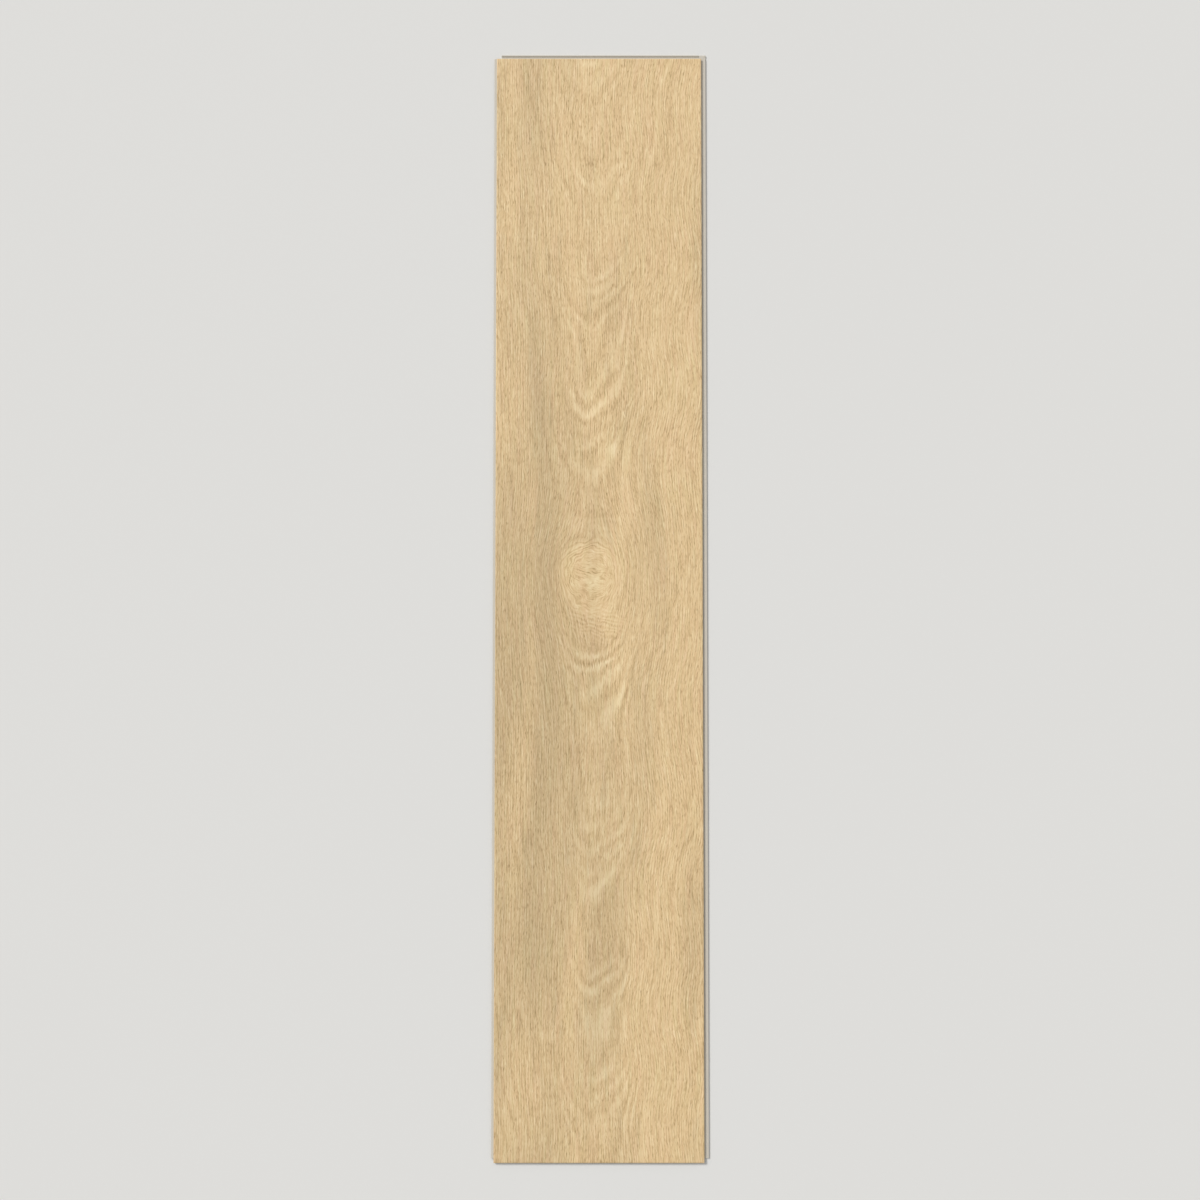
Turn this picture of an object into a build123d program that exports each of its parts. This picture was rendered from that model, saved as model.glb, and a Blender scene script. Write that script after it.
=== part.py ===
"""Click-lock vinyl floor plank, one solid.

X runs across the plank, Y along it, and Z up from the sub-floor to the printed face.
The origin is on the underside, below the middle of the printed face. The printed face is the laid size,
so a plank shifted by one laid width or one laid length clicks into this one.

The long edges have an angling lock: a tongue on -X, and a groove with a ridged lower lip on +X.
The ends have a drop lock: a hook with a snap nib on -Y, and a ridged lower lip with a notch on +Y.
"""

import os
from dataclasses import dataclass

from build123d import *

# Laid size of the printed face, and the height of the plank (mm)
plank_length = 1219.2
plank_width = 228.6
thickness = 5.0

# Bevel round the printed face
bevel_width = 1.2
bevel_drop = 0.5

# Lower lips of both locks
lip_thickness = 1.5
ridge_radius = 0.25
toe_radius = 0.3

# Lower lip of the long edge
long_lip_reach = 5.0
long_ridge_height = 0.7
long_ridge_crown = 1.3
long_flank_run = 0.5

# Lower lip of the end
end_lip_reach = 4.5
end_ridge_height = 1.4
end_ridge_crown = 1.3
end_flank_run = 0.3

# Tongue and groove of the long edges
groove_depth = 3.0
groove_height = 1.7
groove_radius = 0.4
tongue_tip_radius = 0.6

# Hooked end: the rounding of its foot, the flat above that, and the snap nib
hook_radius = 0.4
nib_foot = 0.2
nib_reach = 0.25
nib_height = 0.7

# Play between a plank and its neighbour
seat_gap = 0.05
flank_gap = 0.05
crown_gap = 0.15
toe_gap = 0.3
tongue_play = 0.1
tip_gap = 0.25
nib_gap = 0.05

# Largest share of the tongue's height that one of its roundings takes
largest_rounding_share = 0.45


@dataclass(frozen=True)
class Lip:
    """A lower lip that stands out past the joint plane and ends in a locking ridge."""

    reach: float
    ridge_height: float
    ridge_crown: float
    flank_run: float

    @property
    def seat_reach(self):
        """How far the flat seat runs past the joint plane, to the foot of the ridge."""
        return self.reach - self.ridge_crown - self.flank_run

    @property
    def ridge_top(self):
        return lip_thickness + self.ridge_height

    @property
    def relief(self):
        """How far the neighbour's underside is cut back to clear this lip."""
        return self.reach + toe_gap


long_lip = Lip(long_lip_reach, long_ridge_height, long_ridge_crown, long_flank_run)
end_lip = Lip(end_lip_reach, end_ridge_height, end_ridge_crown, end_flank_run)

# Places that follow from the sizes above
half_width = plank_width / 2
half_length = plank_length / 2
seat_level = lip_thickness + seat_gap
groove_ceiling = lip_thickness + groove_height
tongue_top = groove_ceiling - tongue_play
tongue_reach = groove_depth - tip_gap
tongue_round = min(tongue_tip_radius, largest_rounding_share * (tongue_top - seat_level))
nib_bottom = seat_level + hook_radius + nib_foot
nib_level = nib_bottom + nib_height / 2
nib_top = nib_bottom + nib_height


def lip_corners(joint, lip):
    """Corners of a lower lip, from the foot of its ridge to its toe, with the rounding of each."""
    return [
        ((joint + lip.seat_reach, lip_thickness), 0),
        ((joint + lip.reach - lip.ridge_crown, lip.ridge_top), ridge_radius),
        ((joint + lip.reach, lip.ridge_top), ridge_radius),
        ((joint + lip.reach, 0), toe_radius),
    ]


def underside_corners(joint, lip):
    """Corners of the underside that sits over a neighbour's lip, from the bottom face to the seat."""
    ceiling = lip.ridge_top + crown_gap
    return [
        ((joint + lip.relief, 0), 0),
        ((joint + lip.relief, ceiling), ridge_radius),
        ((joint + lip.reach - lip.ridge_crown - flank_gap, ceiling), 0),
        ((joint + lip.seat_reach - flank_gap, seat_level), ridge_radius),
    ]


def face_corners(half_size):
    """Corners of the printed face and its bevels, from the negative side to the positive side."""
    return [
        ((-half_size, thickness - bevel_drop), 0),
        ((-half_size + bevel_width, thickness), 0),
        ((half_size - bevel_width, thickness), 0),
        ((half_size, thickness - bevel_drop), 0),
    ]


tongue_corners = [
    ((-half_width - tongue_reach, seat_level), tongue_round),
    ((-half_width - tongue_reach, tongue_top), tongue_round),
    ((-half_width, tongue_top), 0),
]

groove_corners = [
    ((half_width, groove_ceiling), 0),
    ((half_width - groove_depth, groove_ceiling), groove_radius),
    ((half_width - groove_depth, lip_thickness), groove_radius),
]

hook_corners = [
    ((-half_length, seat_level), hook_radius),
    ((-half_length, nib_bottom), 0),
    ((-half_length - nib_reach, nib_level), 0),
    ((-half_length, nib_top), 0),
]

notch_corners = [
    ((half_length, nib_top + nib_gap), 0),
    ((half_length - nib_reach - nib_gap, nib_level), 0),
    ((half_length, nib_bottom - nib_gap), 0),
    ((half_length, lip_thickness), 0),
]

width_section = (
    underside_corners(-half_width, long_lip)
    + tongue_corners
    + face_corners(half_width)
    + groove_corners
    + lip_corners(half_width, long_lip)
)

length_section = (
    underside_corners(-half_length, end_lip)
    + hook_corners
    + face_corners(half_length)
    + notch_corners
    + lip_corners(half_length, end_lip)
)

# Low corner and size, in plan, of what is milled off beside each lock
hook_relief = nib_reach + end_lip.relief
corner_reliefs = [
    # the tongue, beside the hook
    ((-half_width - tongue_reach, -half_length - nib_reach), (tongue_reach, hook_relief)),
    # the long lip, beside the hook
    ((half_width, -half_length - nib_reach), (long_lip.reach, hook_relief)),
    # the end lip, beside the tongue
    ((-half_width - tongue_reach, half_length), (tongue_reach + long_lip.relief, end_lip.reach)),
]


def points_of(section):
    return [point for point, _ in section]


def roundings_of(section):
    return [rounding for _, rounding in section]


with BuildPart() as plank:
    # The long edges are milled over the whole length
    with BuildSketch(Plane.XZ):
        with BuildLine():
            FilletPolyline(points_of(width_section), radius=roundings_of(width_section), close=True)
        make_face()
    extrude(amount=half_length + end_lip.reach, both=True)

    # The ends are milled across the whole width
    with BuildSketch(Plane.YZ):
        with BuildLine():
            FilletPolyline(points_of(length_section), radius=roundings_of(length_section), close=True)
        make_face()
    extrude(amount=half_width + long_lip.reach, both=True, mode=Mode.INTERSECT)

    # The corners are relieved, so that no shaving of one lock hangs in the mouth of the other
    with BuildSketch():
        for (x, y), (across, along) in corner_reliefs:
            with Locations((x, y)):
                Rectangle(across, along, align=(Align.MIN, Align.MIN))
    extrude(amount=thickness, mode=Mode.SUBTRACT)

plank.part.label = "plank"

os.makedirs("parts", exist_ok=True)
export_step(plank.part, "parts/plank.step")
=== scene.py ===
"""Looks of a click-lock vinyl floor plank: its printed oak face, its bare milled edges, and the stage.

The print is a figure of oak made from node fields: growth rings that nest into arches and close round an
oval eye, strands that part round the eye, and slow changes of shade. Fields and their values are in
millimetres, in the plank's own frame: x across, y along, and z up from the underside. Settings and meshes
are in metres.
"""

import math
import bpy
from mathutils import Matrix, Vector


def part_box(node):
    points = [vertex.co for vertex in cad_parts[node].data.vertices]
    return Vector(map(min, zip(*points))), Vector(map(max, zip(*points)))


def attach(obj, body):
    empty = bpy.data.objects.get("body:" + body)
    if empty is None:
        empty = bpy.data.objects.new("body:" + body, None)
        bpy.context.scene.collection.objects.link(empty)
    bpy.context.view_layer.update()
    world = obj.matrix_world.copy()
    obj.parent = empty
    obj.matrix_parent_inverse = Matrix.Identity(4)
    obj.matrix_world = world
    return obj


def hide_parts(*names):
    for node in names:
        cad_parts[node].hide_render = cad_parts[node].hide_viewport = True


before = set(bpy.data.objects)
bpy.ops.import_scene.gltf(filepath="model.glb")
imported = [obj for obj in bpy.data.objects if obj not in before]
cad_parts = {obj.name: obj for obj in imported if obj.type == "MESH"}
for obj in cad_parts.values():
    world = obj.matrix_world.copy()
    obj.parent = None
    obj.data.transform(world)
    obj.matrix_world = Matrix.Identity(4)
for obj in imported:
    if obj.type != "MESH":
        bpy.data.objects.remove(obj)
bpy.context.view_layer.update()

from types import SimpleNamespace
from typing import NamedTuple

import bmesh
import bpy
from mathutils import Matrix, Vector

bl_info = {
    "name": "Vinyl Floor Plank",
    "version": (1, 0, 0),
    "blender": (4, 5, 0),
    "location": "View3D > Sidebar > Floor Plank",
    "description": "Builds the oak-look face and milled edges of a click-lock vinyl plank, and its stage",
    "category": "Add Mesh",
}

PLANK_NODE = "plank"
PLANK_BODY = "root"
PLANK_PIECE = "printed_plank"
PLANK_SLOT = "printed_vinyl"

MM_PER_METRE = 1000.0

# Middle of a scale from 0 to 1
MIDDLE = 0.5


class Grain(NamedTuple):
    """Cell of a random field across and along the grain, its place in the pattern, and its finer layers."""

    across: float
    along: float
    seed: float
    detail: float = 1.0
    roughness: float = 0.5


class Patch(NamedTuple):
    """Soft-edged oval place."""

    x: float
    y: float
    half_width: float
    half_length: float

    def cover(self, x, y):
        """1 at its middle, falling away round it."""
        return ((x - self.x) / self.half_width).bell() * ((y - self.y) / self.half_length).bell()


# Random fields that bend the figure
WANDER = Grain(150.0, 330.0, seed=1.0)
SWAY = Grain(30.0, 55.0, seed=2.0)
DRIFT = Grain(300.0, 300.0, seed=7.0)
WIGGLE = Grain(4.0, 14.0, seed=6.0)
FEATHER = Grain(1.3, 17.0, seed=4.0)
CURL_ACROSS = Grain(13.0, 13.0, seed=3.0, detail=1.5)
CURL_ALONG = Grain(13.0, 13.0, seed=5.0, detail=1.5)

# Random fields that follow the growth rings
BANDS = Grain(9.0, 420.0, seed=11.0)
RINGS = Grain(4.4, 120.0, seed=57.5, detail=0.6)
RIPPLES = Grain(1.15, 8.0, seed=23.0, detail=1.5, roughness=0.6)

# Random fields that follow the strands
STAGGER = Grain(2.1, 500.0, seed=16.0)
STREAKS = Grain(2.8, 40.0, seed=22.0)
FIBRES = Grain(1.1, 30.0, seed=21.0, detail=2.0, roughness=0.6)
GRIT = Grain(0.88, 4.2, seed=27.0)
COMB_DRIFT = Grain(7.0, 60.0, seed=18.0)
COMB_SHOW = Grain(2.4, 8.0, seed=19.0)
TICKS = Grain(0.5, 6.0, seed=24.0, detail=0.0)
RAYS = Grain(0.8, 16.0, seed=25.0, detail=0.0)
BLOTCHES = Grain(6.5, 60.0, seed=14.0)
HUES = Grain(3.2, 70.0, seed=15.0)

# Random fields that follow the face
PATCHES = Grain(26.0, 30.0, seed=17.0)
FLECKS = Grain(1.15, 9.0, seed=26.0)
CLOUDS = Grain(45.0, 300.0, seed=13.0)

# Random fields of the bare core and of the floor
CHALK = Grain(0.5, 0.5, seed=31.0, detail=2.0)
SPECKS = Grain(0.45, 0.45, seed=33.0)
MILLING = Grain(0.3, 45.0, seed=32.0)
FLOOR_CLOUDS = Grain(500.0, 500.0, seed=41.0, detail=2.0)

# Oval eye: its rim, reach and heart, and where its halo starts and ends, are shares of its half width
EYE = SimpleNamespace(
    x=-9.0,
    y=32.0,
    half_width=33.0,
    stretch_above=1.12,
    stretch_below=1.556,
    rim=(0.65, 1.15),
    reach=(0.9, 2.1),
    heart=0.625,
    heart_curl=16.0,
    curl=6.0,
    ring_limit=45.0,
    ring_start=174.0,
    halo_start=(0.35, 0.75),
    halo_end=(0.75, 1.45),
    halo_lean=0.3,
)

# Places in and round the eye, in the eye's own frame, and the rippled place below it
EYE_HEART = Patch(0.0, 0.0, 17.0, 14.0)
EYE_SURROUND = Patch(0.0, 0.0, 48.0, 50.0)
RIPPLED = Patch(3.0, -24.0, 22.0, 17.0)

# Nested arches
ARCH = SimpleNamespace(
    middle=-8.0,
    drift=40.0,
    tip_width=18.0,
    steepness=0.77,
    tilt=0.3,
    tilt_width=16.0,
    outer_arms=(24.0, 60.0),
    outer_steepness=0.6,
    slant=18.0,
    slant_width=40.0,
    feather=20.0,
    sway=10.0,
    show_side=7.0,
    show_width=34.0,
    patch_range=(-0.16, 0.12),
    patch_least=0.2,
)

# How far the growth rings have climbed, at places along the plank: arches nest where this is steep
RING_CLIMB = (
    (-610.0, 0.0),
    (-580.0, 2.0),
    (-500.0, 34.0),
    (-455.0, 37.0),
    (-380.0, 66.0),
    (-320.0, 69.0),
    (-225.0, 108.0),
    (-130.0, 113.0),
    (-35.0, 152.0),
    (85.0, 181.0),
    (145.0, 185.0),
    (250.0, 229.0),
    (290.0, 232.0),
    (395.0, 276.0),
    (440.0, 279.0),
    (515.0, 308.0),
    (550.0, 310.0),
    (610.0, 334.0),
)
CLIMB_SCALE = 340.0

# How clearly the arches show, at places along the plank
ARCH_SHOW = (
    (-610.0, 0.4),
    (-540.0, 0.8),
    (-478.0, 0.3),
    (-420.0, 0.8),
    (-350.0, 0.3),
    (-275.0, 0.55),
    (-180.0, 0.35),
    (-85.0, 1.0),
    (-45.0, 0.5),
    (-15.0, 0.4),
    (60.0, 0.1),
    (125.0, 0.1),
    (185.0, 1.0),
    (270.0, 0.5),
    (330.0, 1.0),
    (420.0, 0.35),
    (475.0, 0.8),
    (530.0, 0.4),
    (610.0, 0.7),
)
SHOW_SCALE = 1.0

# Light plumes that the rings draw in the arches: turn is in radians for each millimetre of ring
PLUME = SimpleNamespace(
    noise=0.6,
    turn=0.6,
    shift=5.0,
    crescents=0.16,
    light=1.55,
    streaked=2.0,
    dark=0.6,
    in_arches=0.93,
    elsewhere=0.1,
    lost_in_ripples=0.8,
)

# Strands: how they bend, and the hair that they are drawn with
STRAND = SimpleNamespace(
    wander=18.0,
    eye_bend=0.8,
    lean=0.5,
    lean_width=25.0,
    lean_back=-0.2,
    sway=1.5,
    stagger=30.0,
)
HAIR = SimpleNamespace(
    fibres=0.19,
    fibre_contrast=6.0,
    grit=0.52,
    comb=0.17,
    light_range=(0.0, 0.25),
    lost_in_light=0.4,
)
EYE_HAIR = SimpleNamespace(ripples=1.1, fibres=0.08, grit=0.3)
COMB = SimpleNamespace(turn=2.3, drift=9.0, show=0.5, show_contrast=2.0)
PORE = SimpleNamespace(range=(0.13, 0.22), lost_in_bands=0.2, lost_in_rings=0.3)
RAY_RANGE = (0.10, 0.22)

# Lines round the eye, rows of ripples below it, and wavy flecks at its heart
LINES = SimpleNamespace(turn=3.0, shift=9.0, range=(-0.9, 0.1))
ROWS = SimpleNamespace(turn=1.45, slope=0.3, curl=16.0, show=0.5)
FLECK = SimpleNamespace(slope=0.25, curl=9.0, soft=0.7, dark=0.38, range=(0.04, 0.16))

# How much each layer moves the tone, which is 0.5 at the lightest grain and -0.5 at the darkest
TONE = SimpleNamespace(
    bands=0.27,
    bands_lost_in_arches=0.12,
    arches=0.04,
    streaks=0.22,
    pores=0.32,
    rays=0.2,
    eye=0.11,
    eye_mottle=0.06,
    lines=0.27,
    ripples=0.07,
    rows=0.27,
)

# Slow shade of the face: how much each stretch adds or takes, and where it lies
SHADE = SimpleNamespace(
    base=0.06,
    clouds=2.4,
    left=0.32,
    left_range=(-85.0, 20.0),
    right=0.15,
    right_range=(20.0, 80.0),
    along=0.12,
    along_half_length=350.0,
    middle=0.7,
    dip=0.4,
    dip_y=-60.0,
    dip_half_length=165.0,
    band=0.2,
    band_x=-60.0,
    band_half_width=16.0,
    band_wander=60.0,
    blotches=0.42,
    blotch_range=(0.02, 0.28),
    eye=0.4,
    ripples=0.25,
)
SHADED_MIDDLE = Patch(-4.0, -160.0, 42.0, 210.0)
HUE_CONTRAST = 1.5

# Bare filled vinyl: the tone of its layers, its colours as shares of the main one, and its milled edges
CORE = SimpleNamespace(
    chalk=0.5,
    milling=0.3,
    specks=0.25,
    speck_range=(0.14, 0.24),
    darkest=0.72,
    lightest=1.22,
    edge_slope=1.7,
    end_milling=(5.0, 4.5),
)

# Where the print ends below the foot of the bevels, and how ragged it ends
PRINT_END = (0.1, 0.02)
PRINT_RAGGED = 0.1

# What the layers add to the roughness and to the bumps, whose height is in metres
FINISH = SimpleNamespace(streaks=0.18, pores=0.08)
RELIEF = SimpleNamespace(tone=0.8, pores=0.6, milling=0.3, strength=0.6, height=0.0002)

# Embossed face: the contrast of its grain, its plain rim, and how far below its top a corner still is on it
PRESS = SimpleNamespace(contrast=1.6, rim=3.0, depth_range=(0.05, 0.02))

# Corners nearer than this, in metres, are one, and levels are told apart to this many decimals of a metre
WELD_DISTANCE = 2e-6
LEVEL_DIGITS = 6

# Plain floor: its half size and its gap under the plank in metres, and its finish
FLOOR_HALF_SIZE = 150.0
FLOOR_CELLS = 8
FLOOR_GAP = 0.0001
FLOOR_CLOUD_CONTRAST = 0.2
FLOOR_DARKEST = 0.97
FLOOR_ROUGHNESS = 0.8
FLOOR_SPECULAR = 0.2

# Way that the main light shines, from the upper left
SUN_DIRECTION = Vector((0.62, -0.5, -0.9))


def srgb(red, green, blue):
    """Linear colour of an 8-bit display colour."""
    shares = (channel / 255 for channel in (red, green, blue))
    linear = (s / 12.92 if s <= 0.04045 else ((s + 0.055) / 1.055) ** 2.4 for s in shares)
    return (*linear, 1.0)


def scaled(colour, share):
    """Colour whose channels are a share of another's, up to white."""
    return [min(1.0, channel * share) for channel in colour[:3]] + [1.0]


class Field:
    """A number that varies over the plank, held by a node socket."""

    def __init__(self, tree, socket):
        self.tree = tree
        self.socket = socket

    def math(self, operation, *others):
        node = self.tree.nodes.new("ShaderNodeMath")
        node.operation = operation
        for socket, value in zip(node.inputs, (self, *others)):
            plug(value, socket)
        return Field(self.tree, node.outputs[0])

    def __add__(self, other):
        return self.math("ADD", other)

    def __sub__(self, other):
        return self.math("SUBTRACT", other)

    def __mul__(self, other):
        return self.math("MULTIPLY", other)

    def __truediv__(self, other):
        return self.math("DIVIDE", other)

    def __neg__(self):
        return self * -1.0

    __radd__ = __add__
    __rmul__ = __mul__

    def __rsub__(self, other):
        return -self + other

    def squared(self):
        return self * self

    def root(self):
        return self.math("SQRT")

    def size(self):
        return self.math("ABSOLUTE")

    def smaller(self, other):
        return self.math("MINIMUM", other)

    def larger(self, other):
        return self.math("MAXIMUM", other)

    def wave(self):
        """Sine, from -1 to 1 and back over each 2 pi."""
        return self.math("SINE")

    def bent(self):
        """Hyperbolic tangent: straight near 0, level far from it."""
        return self.math("TANH")

    def bell(self):
        """1 at 0, falling away on both sides."""
        return (-self.squared()).math("EXPONENT")

    def rise(self, low, high):
        """0 up to low, 1 from high on, smooth between them."""
        node = self.tree.nodes.new("ShaderNodeMapRange")
        node.interpolation_type = "SMOOTHSTEP"
        for socket, value in zip(node.inputs, (self, low, high, 0.0, 1.0)):
            plug(value, socket)
        return Field(self.tree, node.outputs[0])

    def towards(self, other, share):
        """This field where share is 0, the other where it is 1."""
        return self + (other - self) * share

    def curve(self, points, scale):
        """Smooth curve through (place, value) points, whose values go up to the scale."""
        first, last = points[0][0], points[-1][0]
        node = self.tree.nodes.new("ShaderNodeFloatCurve")
        line = node.mapping.curves[0]
        while len(line.points) < len(points):
            line.points.new(MIDDLE, MIDDLE)
        for knot, (place, value) in zip(line.points, points):
            knot.location = ((place - first) / (last - first), value / scale)
            knot.handle_type = "AUTO_CLAMPED"
        node.mapping.update()
        plug((self - first) / (last - first), node.inputs["Value"])
        return Field(self.tree, node.outputs[0]) * scale


def plug(value, socket):
    """Links a field or a node's socket to a socket, or sets that to a plain value."""
    if isinstance(value, Field):
        value = value.socket
    if isinstance(value, bpy.types.NodeSocket):
        socket.id_data.links.new(value, socket)
    else:
        socket.default_value = value


def distance(across, along):
    return (across.squared() + along.squared()).root()


def noise(across, along, grain, aside=0.0):
    """Smooth random field about 0, mostly within -0.5 and 0.5."""
    tree = across.tree
    place = tree.nodes.new("ShaderNodeCombineXYZ")
    cells = (across / grain.across, along / grain.along, aside / grain.along + grain.seed)
    for socket, value in zip(place.inputs, cells):
        plug(value, socket)
    node = tree.nodes.new("ShaderNodeTexNoise")
    plug(place.outputs[0], node.inputs["Vector"])
    plug(1.0, node.inputs["Scale"])
    plug(grain.detail, node.inputs["Detail"])
    plug(grain.roughness, node.inputs["Roughness"])
    return Field(tree, node.outputs[0]) - MIDDLE


def place_fields(tree, position):
    """x, y and z in millimetres of a position socket in metres."""
    split = tree.nodes.new("ShaderNodeSeparateXYZ")
    plug(position, split.inputs[0])
    return [Field(tree, socket) * MM_PER_METRE for socket in split.outputs]


class EyePlace(NamedTuple):
    """Place in the eye's own frame, where its rings are round, and its share of the way to the rim."""

    across: Field
    along: Field
    share: Field


def eye_place(x, y):
    """Place in the frame of the eye, which is longer below its middle than above it."""
    across = x - EYE.x
    along = y - EYE.y
    along = along.larger(0.0) / EYE.stretch_above + along.smaller(0.0) / EYE.stretch_below
    return EyePlace(across, along, distance(across, along) / EYE.half_width)


def eye_rings(x, y, eye, in_eye):
    """Closed rings of the eye, curled most at its heart and level far from it."""
    curl = (eye.share / EYE.heart).bell() * EYE.heart_curl + in_eye * EYE.curl
    across = eye.across + noise(x, y, CURL_ACROSS) * curl
    along = eye.along + noise(x, y, CURL_ALONG) * curl
    return (distance(across, along) / EYE.ring_limit).bent() * EYE.ring_limit - EYE.ring_start


def eye_halo(eye):
    """How clearly lines ring the eye: mostly round its rim, and at its upper left."""
    lean = ((eye.along - eye.across) / EYE.half_width).bent() * EYE.halo_lean + (1.0 - EYE.halo_lean)
    return eye.share.rise(*EYE.halo_start) * (1.0 - eye.share.rise(*EYE.halo_end)) * lean


def arch_sides(x, y):
    """Distance from the drifting middle line of the arches, plain and made as steep as their arms."""
    offset = x - ARCH.middle - noise(y, y, DRIFT) * ARCH.drift
    steepness = ARCH.steepness - (x / ARCH.tilt_width).bent() * ARCH.tilt
    steepness = steepness + offset.size().rise(*ARCH.outer_arms) * ARCH.outer_steepness
    return offset, offset * steepness


def ring_climb(y):
    return y.curve(RING_CLIMB, CLIMB_SCALE)


def uneven_climb(y):
    """How far the rings are ahead of an even climb along the plank."""
    (start, lowest), (end, highest) = RING_CLIMB[0], RING_CLIMB[-1]
    return ring_climb(y) - (y - start) * ((highest - lowest) / (end - start))


def arch_rings(x, y, offset, side):
    """Rings that nest into arches, with slanted and feathered tips."""
    slant = (offset / ARCH.slant_width).bent() * ARCH.slant
    tip = y - slant + noise(x, y, FEATHER) * ARCH.feather
    return (side.squared() + ARCH.tip_width**2).root() - ring_climb(tip)


def arch_show(x, y, side):
    """How clearly the arches show: near their middle, by stretches along the plank, and in patches."""
    patches = noise(x, y, PATCHES).rise(*ARCH.patch_range) * (1.0 - ARCH.patch_least) + ARCH.patch_least
    return ((side - ARCH.show_side) / ARCH.show_width).bell() * y.curve(ARCH_SHOW, SHOW_SCALE) * patches


def strand_line(x, y, eye, side, sway):
    """Which strand a place is on: strands part round the eye, and lean with the arches."""
    around = EYE_SURROUND.cover(eye.across, eye.along)
    lean = uneven_climb(y) * (side / STRAND.lean_width).bent().larger(STRAND.lean_back)
    bend = eye.across * around * STRAND.eye_bend + lean * (1.0 - around) * STRAND.lean
    return x - bend + sway * STRAND.sway + noise(x, y, WIGGLE)


class Growth(NamedTuple):
    """Where the print is in the log that it imitates: its ring, its strand, and its share of each place."""

    ring: Field
    fibre: Field
    arch: Field
    eye: Field
    heart: Field
    halo: Field
    rippled: Field


def oak_growth(x, y):
    """Rings and strands of the printed oak, its arches, and its eye with the ripples below it."""
    sway = noise(x, y, SWAY)
    x = x + noise(x, y, WANDER) * STRAND.wander
    eye = eye_place(x, y)
    in_eye = 1.0 - eye.share.rise(*EYE.rim)
    near_eye = 1.0 - eye.share.rise(*EYE.reach)
    offset, side = arch_sides(x, y)
    ring = arch_rings(x, y, offset, side).towards(eye_rings(x, y, eye, in_eye), near_eye)
    return Growth(
        ring=ring + sway * ARCH.sway,
        fibre=strand_line(x, y, eye, side, sway),
        arch=arch_show(x, y, side),
        eye=in_eye,
        heart=EYE_HEART.cover(eye.across, eye.along),
        halo=eye_halo(eye),
        rippled=RIPPLED.cover(x, y),
    )


def ring_figure(growth, y, bands):
    """Light and dark rings: random ones, with a share of even crescents."""
    crescents = (growth.ring * PLUME.turn + bands * PLUME.shift).wave()
    return noise(growth.ring, y, RINGS) * PLUME.noise + crescents * PLUME.crescents


def arch_plumes(growth, rings, streaks):
    """Tone of the arches: light plumes that the strands break up, and fainter dark rings."""
    plumes = rings.larger(0.0) * (PLUME.light + streaks * PLUME.streaked) + rings.smaller(0.0) * PLUME.dark
    shown = growth.arch * PLUME.in_arches + PLUME.elsewhere
    return plumes * shown * (1.0 - growth.rippled * PLUME.lost_in_ripples)


def strand_hair(growth, x, y, strand):
    """Fine light and dark hair along the strands, which follows the rings in the eye."""
    fibres = (noise(growth.fibre, strand, FIBRES) * HAIR.fibre_contrast).bent()
    grit = noise(growth.fibre, strand, GRIT)
    comb = (growth.fibre * COMB.turn + noise(growth.fibre, strand, COMB_DRIFT) * COMB.drift).wave()
    comb = comb * (noise(growth.fibre, strand, COMB_SHOW) * COMB.show_contrast + COMB.show)
    ripples = noise(growth.ring, y, RIPPLES, x)
    plain_hair = fibres * HAIR.fibres + grit * HAIR.grit + comb * HAIR.comb
    eye_hair = ripples * EYE_HAIR.ripples + fibres * EYE_HAIR.fibres + grit * EYE_HAIR.grit
    hair = plain_hair.towards(eye_hair, growth.eye)
    return hair.towards(grit * EYE_HAIR.grit, growth.rippled.larger(growth.heart))


def eye_tone(growth, x, y, bands, streaks):
    """Tone of the eye: flecks at its heart, dark lines round it, and rows of ripples below it."""
    curl = noise(x, y, CURL_ALONG) * FLECK.curl
    waves = noise(y + x * FLECK.slope + curl, x, FLECKS)
    flecks = waves * FLECK.soft - (-waves).rise(*FLECK.range) * FLECK.dark
    lines = 1.0 - (growth.ring * LINES.turn + bands * LINES.shift).wave().rise(*LINES.range)
    rows = (y * ROWS.turn + x * ROWS.slope + noise(x, y, CURL_ACROSS) * ROWS.curl).wave()
    rows = rows * (streaks + ROWS.show) * TONE.rows + TONE.ripples
    tone = growth.eye * (curl * TONE.eye_mottle + TONE.eye) + flecks * growth.heart
    return tone - lines * growth.halo * TONE.lines + rows * growth.rippled


def slow_shade(growth, x, y):
    """Share of the greyer colour in the slow changes over the face."""
    clouds = noise(x, y, CLOUDS)
    dip = ((y - SHADE.dip_y) / SHADE.dip_half_length).bell()
    left = (1.0 - x.rise(*SHADE.left_range)) * (dip * SHADE.dip + SHADE.left)
    right = x.rise(*SHADE.right_range) * SHADE.right
    along = (y / SHADE.along_half_length).bent() * SHADE.along
    band = growth.fibre - SHADE.band_x + clouds * SHADE.band_wander
    band = (band / SHADE.band_half_width).bell() * SHADE.band
    blotches = noise(growth.fibre, y, BLOTCHES).rise(*SHADE.blotch_range) * SHADE.blotches
    middle = SHADED_MIDDLE.cover(x, y) * SHADE.middle
    shade = clouds * SHADE.clouds + left - right - along + band + blotches + middle
    return shade - growth.eye * SHADE.eye - growth.rippled * SHADE.ripples + SHADE.base


class Print(NamedTuple):
    """What the print gives to the colour and the surface."""

    tone: Field
    shade: Field
    hue: Field
    pores: Field
    streaks: Field


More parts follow.
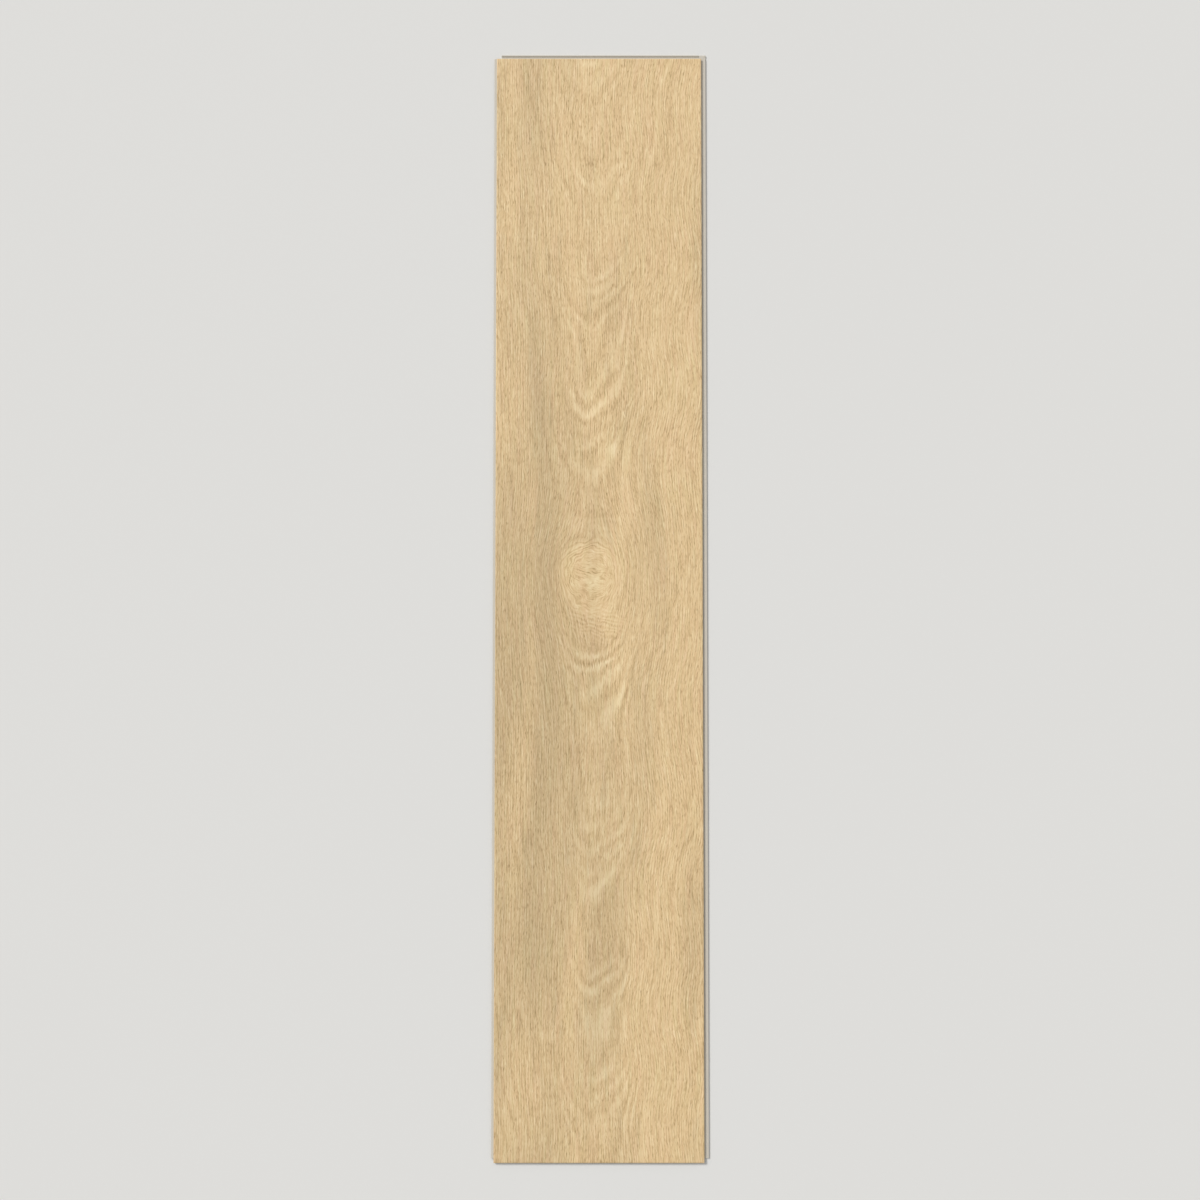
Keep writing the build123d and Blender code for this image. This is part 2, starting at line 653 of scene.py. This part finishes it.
def oak_print(x, y):
    """Tone, slow shade, hue, pores and streaks of the printed oak."""
    growth = oak_growth(x, y)
    strand = y + noise(growth.fibre, y, STAGGER) * STRAND.stagger
    bands = noise(growth.ring, y, BANDS)
    streaks = noise(growth.fibre, strand, STREAKS)
    rings = ring_figure(growth, y, bands)
    arches = arch_plumes(growth, rings, streaks)

    off_eye = 1.0 - growth.eye
    ticks = noise(growth.fibre, strand, TICKS) - bands * PORE.lost_in_bands
    pores = (ticks - rings * growth.arch * PORE.lost_in_rings).rise(*PORE.range) * off_eye
    rays = noise(growth.fibre, strand, RAYS).rise(*RAY_RANGE) * off_eye
    light = (arches + bands * TONE.bands).rise(*HAIR.light_range)
    hair = strand_hair(growth, x, y, strand) * (1.0 - light * HAIR.lost_in_light)

    tone = arches + growth.arch * TONE.arches
    tone = tone + bands * (TONE.bands - growth.arch * TONE.bands_lost_in_arches) + streaks * TONE.streaks
    tone = tone + hair - pores * TONE.pores + rays * TONE.rays
    tone = tone + eye_tone(growth, x, y, bands, streaks)
    hue = noise(growth.fibre, y, HUES) * HUE_CONTRAST + MIDDLE
    return Print(tone, slow_shade(growth, x, y), hue, pores, streaks)


def colour_setting(name, description, default):
    return bpy.props.FloatVectorProperty(
        name=name,
        description=description,
        default=default,
        size=4,
        min=0.0,
        max=1.0,
        subtype="COLOR",
    )


def share_setting(name, description, default):
    return bpy.props.FloatProperty(
        name=name,
        description=description,
        default=default,
        min=0.0,
        max=1.0,
        subtype="FACTOR",
    )


class PlankSettings(bpy.types.PropertyGroup):
    """Sizes, colours and finish of the plank."""

    columns: bpy.props.IntProperty(
        name="Columns",
        description="Cells of the embossed face across the plank",
        default=348,
        min=10,
        max=350,
    )
    rows: bpy.props.IntProperty(
        name="Rows",
        description="Cells of the embossed face along the plank",
        default=270,
        min=10,
        max=275,
    )
    emboss_depth: bpy.props.FloatProperty(
        name="Emboss Depth",
        description="Depth of the deepest pressed grain",
        default=0.00012,
        min=0.0,
        max=0.0004,
        precision=5,
        subtype="DISTANCE",
        unit="LENGTH",
    )
    dark: colour_setting("Dark Grain", "Colour of the darkest grain", srgb(177, 146, 99))
    middle: colour_setting("Oak", "Main colour of the print", srgb(230, 199, 151))
    light: colour_setting("Light Grain", "Colour of the lightest grain", srgb(255, 233, 190))
    shade: colour_setting(
        "Shade",
        "Colour that the greyer stretches of the print are multiplied by",
        (0.78, 0.79, 0.79, 1.0),
    )
    olive: colour_setting(
        "Olive Strands",
        "Colour that the greener strands of the print are multiplied by",
        (0.97, 1.0, 0.94, 1.0),
    )
    rose: colour_setting(
        "Rose Strands",
        "Colour that the redder strands of the print are multiplied by",
        (1.0, 0.95, 0.95, 1.0),
    )
    core: colour_setting(
        "Core",
        "Colour of the bare filled vinyl on the edges and the underside",
        srgb(206, 199, 186),
    )
    print_roughness: share_setting("Print Roughness", "Roughness of the printed face", 0.52)
    core_roughness: share_setting("Core Roughness", "Roughness of the bare filled vinyl", 0.66)


class StageSettings(bpy.types.PropertyGroup):
    """Floor, light and camera."""

    floor: colour_setting("Floor", "Colour of the floor", srgb(232, 231, 228))
    surround: colour_setting("Surround", "Colour of what is seen past the floor", srgb(224, 223, 220))
    fill: share_setting("Fill Light", "Strength of the even light from all round", 0.55)
    sun: bpy.props.FloatProperty(
        name="Main Light",
        description="Strength of the soft light from the upper left",
        default=2.0,
        min=0.0,
        max=10.0,
    )
    sun_spread: bpy.props.FloatProperty(
        name="Main Light Spread",
        description="Angle that the soft light covers, seen from the plank",
        default=math.radians(20.0),
        min=0.0,
        max=math.radians(180.0),
        subtype="ANGLE",
        unit="ROTATION",
    )
    elevation: bpy.props.FloatProperty(
        name="Camera Elevation",
        description="Height of the camera above the horizon, as an angle",
        default=math.radians(86.0),
        min=0.0,
        max=math.radians(90.0),
        subtype="ANGLE",
        unit="ROTATION",
    )
    lens: bpy.props.FloatProperty(
        name="Lens",
        description="Focal length of the camera",
        default=70.0,
        min=10.0,
        max=300.0,
        subtype="DISTANCE_CAMERA",
        unit="CAMERA",
    )
    filled: share_setting("Filled", "Share of the picture's height that the plank takes", 0.925)


def colour_ramp(tree, share, colours):
    """Colour socket of an even ramp through the colours."""
    node = tree.nodes.new("ShaderNodeValToRGB")
    ramp = node.color_ramp
    while len(ramp.elements) < len(colours):
        ramp.elements.new(MIDDLE)
    for step, (element, colour) in enumerate(zip(ramp.elements, colours)):
        element.position = step / (len(colours) - 1)
        element.color = colour
    plug(share, node.inputs[0])
    return node.outputs[0]


def mixed(tree, share, first, second, blend="MIX"):
    """Colour socket that goes from first to second; each is a colour or a colour socket."""
    node = tree.nodes.new("ShaderNodeMix")
    node.data_type = "RGBA"
    node.blend_type = blend
    enabled = [socket for socket in node.inputs if socket.enabled]
    for socket, value in zip(enabled, (share, first, second)):
        plug(value, socket)
    return next(socket for socket in node.outputs if socket.enabled)


def oak_colour(tree, oak, settings):
    """Colour socket of the printed oak."""
    wood = colour_ramp(tree, oak.tone + MIDDLE, (settings.dark, settings.middle, settings.light))
    wood = mixed(tree, oak.shade, wood, settings.shade, "MULTIPLY")
    tint = mixed(tree, oak.hue, settings.olive, settings.rose)
    return mixed(tree, 1.0, wood, tint, "MULTIPLY")


class Core(NamedTuple):
    """What the bare filled vinyl gives to the colour and the surface."""

    tone: Field
    milling: Field


def vinyl_core(x, y, z, half_length):
    """Chalky filler with dark specks, and the lines that milling leaves along each edge."""
    chalk = noise(x, y, CHALK, z)
    specks = noise(x, y, SPECKS, z).rise(*CORE.speck_range)
    at_end = y.size().rise(*(half_length - inset for inset in CORE.end_milling))
    along_side = noise(x + z * CORE.edge_slope, y, MILLING)
    along_end = noise(y + z * CORE.edge_slope, x, MILLING)
    milling = along_side.towards(along_end, at_end)
    return Core(chalk * CORE.chalk + milling * CORE.milling - specks * CORE.specks, milling)


def core_colour(tree, core, colour):
    """Colour socket of the bare filled vinyl."""
    colours = (scaled(colour, CORE.darkest), colour, scaled(colour, CORE.lightest))
    return colour_ramp(tree, core.tone + MIDDLE, colours)


def plank_material(settings, half_length, bevel_foot):
    """Oak print on the face and bevels, bare filled vinyl below them."""
    material = bpy.data.materials.new(PLANK_SLOT)
    material.use_nodes = True
    tree = material.node_tree
    tree.nodes.clear()
    output = tree.nodes.new("ShaderNodeOutputMaterial")
    surface = tree.nodes.new("ShaderNodeBsdfPrincipled")
    plug(surface.outputs[0], output.inputs["Surface"])
    coordinates = tree.nodes.new("ShaderNodeTexCoord")
    x, y, z = place_fields(tree, coordinates.outputs["Object"])

    oak = oak_print(x, y)
    core = vinyl_core(x, y, z, half_length)
    ragged = z + core.tone * PRINT_RAGGED
    printed = ragged.rise(*(bevel_foot - drop for drop in PRINT_END))
    bare = core_colour(tree, core, settings.core)
    plug(mixed(tree, printed, bare, oak_colour(tree, oak, settings)), surface.inputs["Base Color"])

    matte = oak.streaks * FINISH.streaks + settings.print_roughness + oak.pores * FINISH.pores
    plug(matte.towards(settings.core_roughness, 1.0 - printed), surface.inputs["Roughness"])

    grain = oak.tone * RELIEF.tone - oak.pores * RELIEF.pores
    bump = tree.nodes.new("ShaderNodeBump")
    plug(RELIEF.strength, bump.inputs["Strength"])
    plug(RELIEF.height, bump.inputs["Distance"])
    plug((core.milling * RELIEF.milling).towards(grain, printed), bump.inputs["Height"])
    plug(bump.outputs[0], surface.inputs["Normal"])
    return material


def emboss_tree(depth, face):
    """Node group that presses the grain into the printed face, and leaves its rim as it is."""
    tree = bpy.data.node_groups.new("plank_emboss", "GeometryNodeTree")
    for direction in ("INPUT", "OUTPUT"):
        tree.interface.new_socket(name="Geometry", in_out=direction, socket_type="NodeSocketGeometry")
    start = tree.nodes.new("NodeGroupInput")
    end = tree.nodes.new("NodeGroupOutput")
    position = tree.nodes.new("GeometryNodeInputPosition")
    shift = tree.nodes.new("GeometryNodeSetPosition")
    offset = tree.nodes.new("ShaderNodeCombineXYZ")
    x, y, z = place_fields(tree, position.outputs[0])

    pressed = (oak_print(x, y).streaks * PRESS.contrast + MIDDLE).smaller(1.0).larger(0.0)
    low, high = (corner * MM_PER_METRE for corner in face)
    inset = (x - low.x).smaller(high.x - x).smaller(y - low.y).smaller(high.y - y)
    on_face = z.rise(*(high.z - drop for drop in PRESS.depth_range))
    plug(pressed * inset.rise(0.0, PRESS.rim) * on_face * -depth, offset.inputs["Z"])

    plug(start.outputs[0], shift.inputs["Geometry"])
    plug(offset.outputs[0], shift.inputs["Offset"])
    plug(shift.outputs[0], end.inputs[0])
    return tree


def plank_mesh(columns, rows):
    """The plank's solid with a fine grid in place of its flat printed face."""
    shell = bmesh.new()
    shell.from_mesh(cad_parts[PLANK_NODE].data)
    bmesh.ops.remove_doubles(shell, verts=shell.verts, dist=WELD_DISTANCE)
    top = max(v.co.z for v in shell.verts)
    rim = {v for v in shell.verts if v.co.z > top - WELD_DISTANCE}
    flat = [f for f in shell.faces if rim.issuperset(f.verts)]
    bmesh.ops.delete(shell, geom=flat, context="FACES")
    levels = sorted({round(v.co.z, LEVEL_DIGITS) for v in shell.verts})

    low = Vector(min(v.co[axis] for v in rim) for axis in range(3))
    high = Vector(max(v.co[axis] for v in rim) for axis in range(3))
    for edge in [e for e in shell.edges if e.is_boundary]:
        run = edge.verts[1].co - edge.verts[0].co
        cells = columns if abs(run.x) > abs(run.y) else rows
        bmesh.ops.bisect_edges(shell, edges=[edge], cuts=cells - 1)

    half = (high - low) / 2
    spread = Matrix.Translation((low + high) / 2) @ Matrix.Diagonal((half.x, half.y, 1.0, 1.0))
    bmesh.ops.create_grid(shell, x_segments=columns, y_segments=rows, size=1.0, matrix=spread)
    bmesh.ops.remove_doubles(shell, verts=shell.verts, dist=WELD_DISTANCE)

    for face in shell.faces:
        face.smooth = all(v.co.z > top - WELD_DISTANCE for v in face.verts)
    for edge in shell.edges:
        edge.smooth = all(f.smooth for f in edge.link_faces)
    bmesh.ops.recalc_face_normals(shell, faces=shell.faces)

    mesh = bpy.data.meshes.new(PLANK_PIECE)
    shell.to_mesh(mesh)
    shell.free()
    bevel_foot = levels[-2]
    return mesh, (low, high), bevel_foot


class FLOOR_PLANK_OT_make_plank(bpy.types.Operator):
    """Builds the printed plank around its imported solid"""

    bl_idname = "floor_plank.make_plank"
    bl_label = "Make Plank"

    def execute(self, context):
        settings = context.scene.floor_plank
        mesh, face, bevel_foot = plank_mesh(settings.columns, settings.rows)
        plank = bpy.data.objects.new(PLANK_PIECE, mesh)
        context.scene.collection.objects.link(plank)

        emboss = plank.modifiers.new("emboss", "NODES")
        emboss.node_group = emboss_tree(settings.emboss_depth, face)
        context.view_layer.update()
        pressed = plank.evaluated_get(context.evaluated_depsgraph_get())
        plank.data = bpy.data.meshes.new_from_object(pressed)
        plank.modifiers.clear()

        material = plank_material(settings, face[1].y * MM_PER_METRE, bevel_foot * MM_PER_METRE)
        plank.data.materials.clear()
        plank.data.materials.append(material)
        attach(plank, PLANK_BODY)
        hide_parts(PLANK_NODE)
        return {"FINISHED"}


def floor_material(colour):
    """Plain pale floor with a faint unevenness."""
    material = bpy.data.materials.new("pale_floor")
    material.use_nodes = True
    tree = material.node_tree
    surface = tree.nodes["Principled BSDF"]
    coordinates = tree.nodes.new("ShaderNodeTexCoord")
    x, y, _ = place_fields(tree, coordinates.outputs["Object"])
    cloud = noise(x, y, FLOOR_CLOUDS) * FLOOR_CLOUD_CONTRAST + MIDDLE
    plug(colour_ramp(tree, cloud, (scaled(colour, FLOOR_DARKEST), colour)), surface.inputs["Base Color"])
    plug(FLOOR_ROUGHNESS, surface.inputs["Roughness"])
    plug(FLOOR_SPECULAR, surface.inputs["Specular IOR Level"])
    return material


def floor_sheet(level, colour):
    """Floor just under the plank."""
    sheet = bmesh.new()
    bmesh.ops.create_grid(sheet, x_segments=FLOOR_CELLS, y_segments=FLOOR_CELLS, size=FLOOR_HALF_SIZE)
    mesh = bpy.data.meshes.new("floor")
    sheet.to_mesh(mesh)
    sheet.free()
    mesh.materials.append(floor_material(colour))
    floor = bpy.data.objects.new("floor", mesh)
    floor.location.z = level - FLOOR_GAP
    return floor


def studio_world(fill_strength, surround):
    """Even fill light, and a pale surround for what the camera sees."""
    world = bpy.data.worlds.new("studio")
    world.use_nodes = True
    tree = world.node_tree
    tree.nodes.clear()
    output = tree.nodes.new("ShaderNodeOutputWorld")
    fill = tree.nodes.new("ShaderNodeBackground")
    plug(fill_strength, fill.inputs["Strength"])
    seen = tree.nodes.new("ShaderNodeBackground")
    plug(surround, seen.inputs["Color"])
    rays = tree.nodes.new("ShaderNodeLightPath")
    shown = Field(tree, rays.outputs["Is Camera Ray"])
    for name in ("Is Glossy Ray", "Is Transmission Ray"):
        shown = shown.larger(Field(tree, rays.outputs[name]))
    mix = tree.nodes.new("ShaderNodeMixShader")
    for socket, value in zip(mix.inputs, (shown, fill.outputs[0], seen.outputs[0])):
        plug(value, socket)
    plug(mix.outputs[0], output.inputs["Surface"])
    return world


def aimed(name, data, direction):
    """Lamp or camera that points along a direction."""
    holder = bpy.data.objects.new(name, data)
    holder.rotation_euler = direction.to_track_quat("-Z", "Y").to_euler()
    return holder


def soft_light(settings):
    light = bpy.data.lights.new("softbox", "SUN")
    light.energy = settings.sun
    light.angle = settings.sun_spread
    return aimed("softbox", light, SUN_DIRECTION)


def plank_camera(settings, low, high):
    """Camera that looks down on the plank, as far off as its length needs."""
    lens = bpy.data.cameras.new("camera")
    lens.lens = settings.lens
    back = Vector((0.0, -math.cos(settings.elevation), math.sin(settings.elevation)))
    seen_length = (high.y - low.y) / settings.filled
    camera = aimed("camera", lens, -back)
    camera.location = (low + high) / 2 + back * (seen_length * lens.lens / lens.sensor_width)
    return camera


class FLOOR_PLANK_OT_make_stage(bpy.types.Operator):
    """Adds the floor, the light and the camera"""

    bl_idname = "floor_plank.make_stage"
    bl_label = "Make Stage"

    def execute(self, context):
        settings = context.scene.floor_plank_stage
        scene = context.scene
        scene.view_settings.view_transform = "Standard"
        scene.world = studio_world(settings.fill, settings.surround)
        low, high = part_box(PLANK_NODE)

        floor = floor_sheet(low.z, settings.floor)
        camera = plank_camera(settings, low, high)
        for item in (floor, soft_light(settings), camera):
            scene.collection.objects.link(item)
        scene.camera = camera
        return {"FINISHED"}


class FLOOR_PLANK_PT_panel(bpy.types.Panel):
    """Lists the plank's operators and settings"""

    bl_idname = "FLOOR_PLANK_PT_panel"
    bl_label = "Floor Plank"
    bl_space_type = "VIEW_3D"
    bl_region_type = "UI"
    bl_category = "Floor Plank"

    def draw(self, context):
        for settings, operator in (
            (context.scene.floor_plank, FLOOR_PLANK_OT_make_plank),
            (context.scene.floor_plank_stage, FLOOR_PLANK_OT_make_stage),
        ):
            box = self.layout.box()
            for name in settings.__annotations__:
                box.prop(settings, name)
            box.operator(operator.bl_idname)


CLASSES = (
    PlankSettings,
    StageSettings,
    FLOOR_PLANK_OT_make_plank,
    FLOOR_PLANK_OT_make_stage,
    FLOOR_PLANK_PT_panel,
)


def register():
    for cls in CLASSES:
        bpy.utils.register_class(cls)
    bpy.types.Scene.floor_plank = bpy.props.PointerProperty(type=PlankSettings)
    bpy.types.Scene.floor_plank_stage = bpy.props.PointerProperty(type=StageSettings)


def unregister():
    del bpy.types.Scene.floor_plank_stage
    del bpy.types.Scene.floor_plank
    for cls in reversed(CLASSES):
        bpy.utils.unregister_class(cls)


def main():
    register()
    bpy.ops.floor_plank.make_plank()
    bpy.ops.floor_plank.make_stage()


if __name__ == "__main__":
    main()
